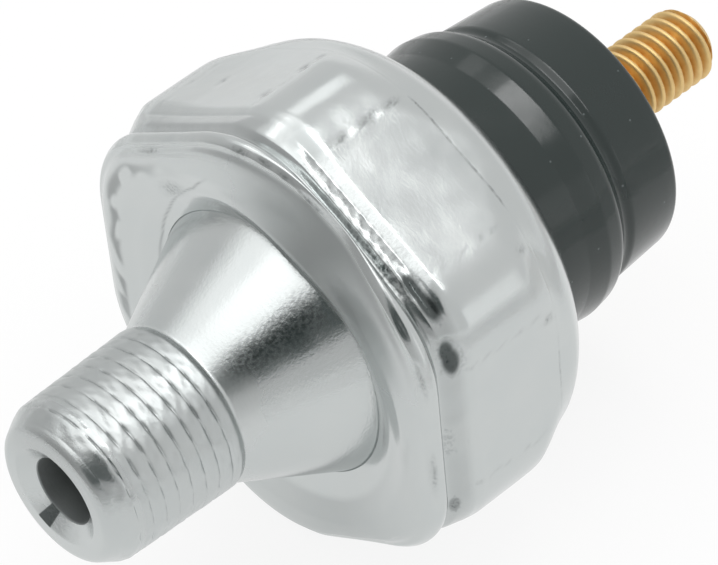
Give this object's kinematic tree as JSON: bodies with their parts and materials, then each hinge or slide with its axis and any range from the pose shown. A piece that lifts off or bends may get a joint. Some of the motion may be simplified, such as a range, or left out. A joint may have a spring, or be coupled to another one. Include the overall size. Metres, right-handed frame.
{
  "type": "oil pressure sender",
  "caption": "Screw-in oil pressure sender: plated steel taper-thread fitting and hexagonal cup crimped over a black insulator with a brass terminal stud.",
  "frame": {"origin": "on the part's axis where the taper pipe thread ends and the cone of the fitting begins", "axes": "+X along the axis from the oil port to the terminal stud; two corners of the hexagon point to +Z and -Z, so two flats face +Y and -Y"},
  "size_m": [0.0503, 0.0274, 0.029],
  "materials": {
    "plated_steel": "bright zinc plate",
    "seal_rubber": "matt moulded rubber",
    "diaphragm_film": "amber film",
    "contact_brass": "stamped brass",
    "plunger_nylon": "moulded nylon",
    "spring_steel": "drawn wire",
    "black_moulding": "moulded, half gloss",
    "stud_brass": "machined brass"
  },
  "bodies": {
    "housing": {"fitting": "plated_steel", "shell": "plated_steel", "seal_ring": "seal_rubber", "diaphragm": "diaphragm_film", "ground_plate": "contact_brass", "contact_spring": "spring_steel", "insulator": "black_moulding", "terminal_stud": "stud_brass"},
    "contact_carriage": {"plunger": "plunger_nylon", "moving_contact": "contact_brass"}
  },
  "joints": [
    {"name": "contact_lift", "type": "slide", "parent": "housing", "child": "contact_carriage", "axis": [1, 0, 0], "range_m": [0, 0.0005], "stiffness_N_per_m": 1500, "deforming": ["contact_spring", "diaphragm"]}
  ]
}
